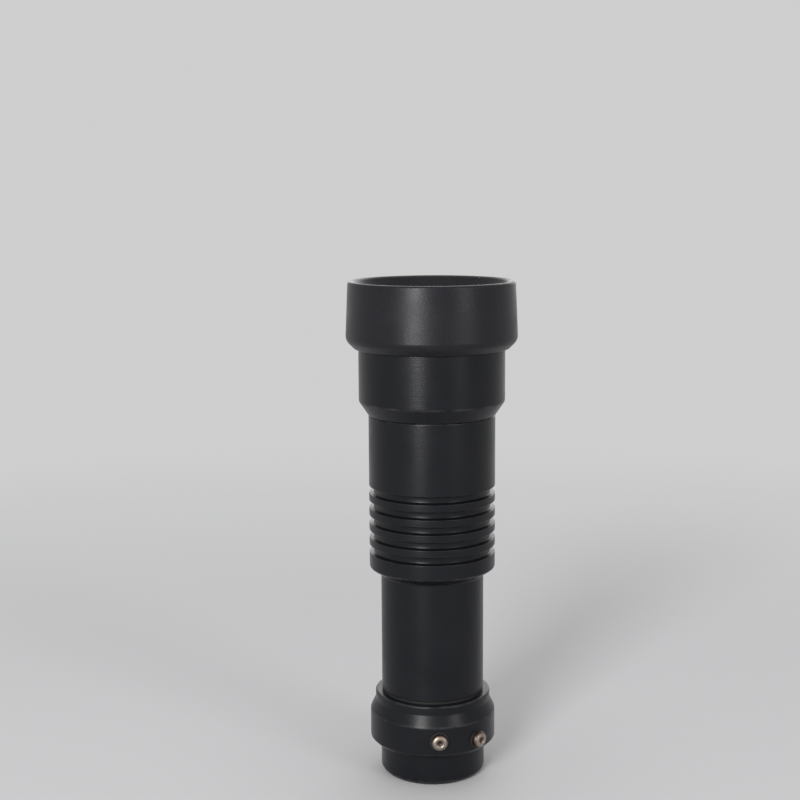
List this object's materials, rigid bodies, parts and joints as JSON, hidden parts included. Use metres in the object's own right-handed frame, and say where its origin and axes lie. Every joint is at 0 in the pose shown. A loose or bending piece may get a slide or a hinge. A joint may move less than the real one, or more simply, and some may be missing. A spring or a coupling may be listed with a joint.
{
  "type": "egg candling lamp",
  "caption": "Black torch-shaped egg candling lamp with a soft cup on its head, a ring-grooved grip, a slim neck and a tail cap with charging studs and a push button.",
  "frame": {"origin": "middle of the tail's rim, on the surface that the lamp stands on", "axes": "+Z along the lamp's axis from tail to cup; -Y towards the front, where the charging studs are"},
  "size_m": [0.034, 0.034, 0.1],
  "materials": {
    "cup_rubber": "matte moulded",
    "seal_rubber": "matte",
    "button_rubber": "matte moulded",
    "black_anodised": "satin black anodised",
    "clear_glass": "clear",
    "bright_reflector": "polished",
    "white_plastic": "satin moulded",
    "led_dome": "clear silicone",
    "led_ceramic": "matte ceramic",
    "board_metal": "white masked",
    "plated_steel": "nickel plated",
    "stud_nickel": "worn nickel plate",
    "brass": "machined",
    "board_green": "solder mask",
    "part_black": "matte moulded",
    "red_lead": "soft insulation",
    "black_lead": "soft insulation",
    "cell_sleeve": "shrink sleeve",
    "cell_core": "wound foil"
  },
  "bodies": {
    "body": {"barrel": "black_anodised", "front_contact_holder": "white_plastic", "front_contact": "brass", "cell_positive_cap": "plated_steel", "cell_insulator": "white_plastic", "cell_can": "plated_steel", "cell_core": "cell_core", "cell_sleeve": "cell_sleeve", "charge_lead": "red_lead", "tail_gasket": "seal_rubber", "tail_cap": "black_anodised", "tail_spring": "plated_steel", "tail_board": "board_green", "tail_board_parts": "part_black", "charge_fingers": "brass", "charging_studs": "stud_nickel", "stud_bushes": "part_black", "switch_body": "part_black", "button_spring": "plated_steel"},
    "head_ring": {"head_sealing_ring": "seal_rubber"},
    "head": {"egg_cup": "cup_rubber", "bezel_ring": "black_anodised", "lens_seal": "seal_rubber", "lens": "clear_glass", "reflector": "bright_reflector", "led_centring_ring": "white_plastic", "led_dome": "led_dome", "led_package": "led_ceramic", "led_board": "board_metal", "board_screws": "plated_steel", "led_lead_positive": "red_lead", "led_lead_negative": "black_lead", "heat_sink": "brass", "driver_board": "board_green", "driver_parts": "part_black", "contact_spring": "brass", "head_housing": "black_anodised"},
    "button": {"push_button": "button_rubber", "button_plunger": "white_plastic"}
  },
  "joints": [
    {"name": "head_turn", "type": "hinge", "parent": "body", "child": "head_ring", "pos_m": [0, 0, 0.0735], "axis": [0, 0, 1], "range_deg": [0, 1080]},
    {"name": "head_rise", "type": "slide", "parent": "head_ring", "child": "head", "axis": [0, 0, 1], "range_m": [0, 0.003]},
    {"name": "button_press", "type": "slide", "parent": "body", "child": "button", "axis": [0, 0, 1], "range_m": [0, 0.0015], "stiffness_N_per_m": 900, "springref_m": -0.0025, "deforming": ["button_spring"]}
  ],
  "couplings": [
    {"joint": "head_rise", "follows": "head_turn", "m_per_rad": 0.00015915}
  ]
}
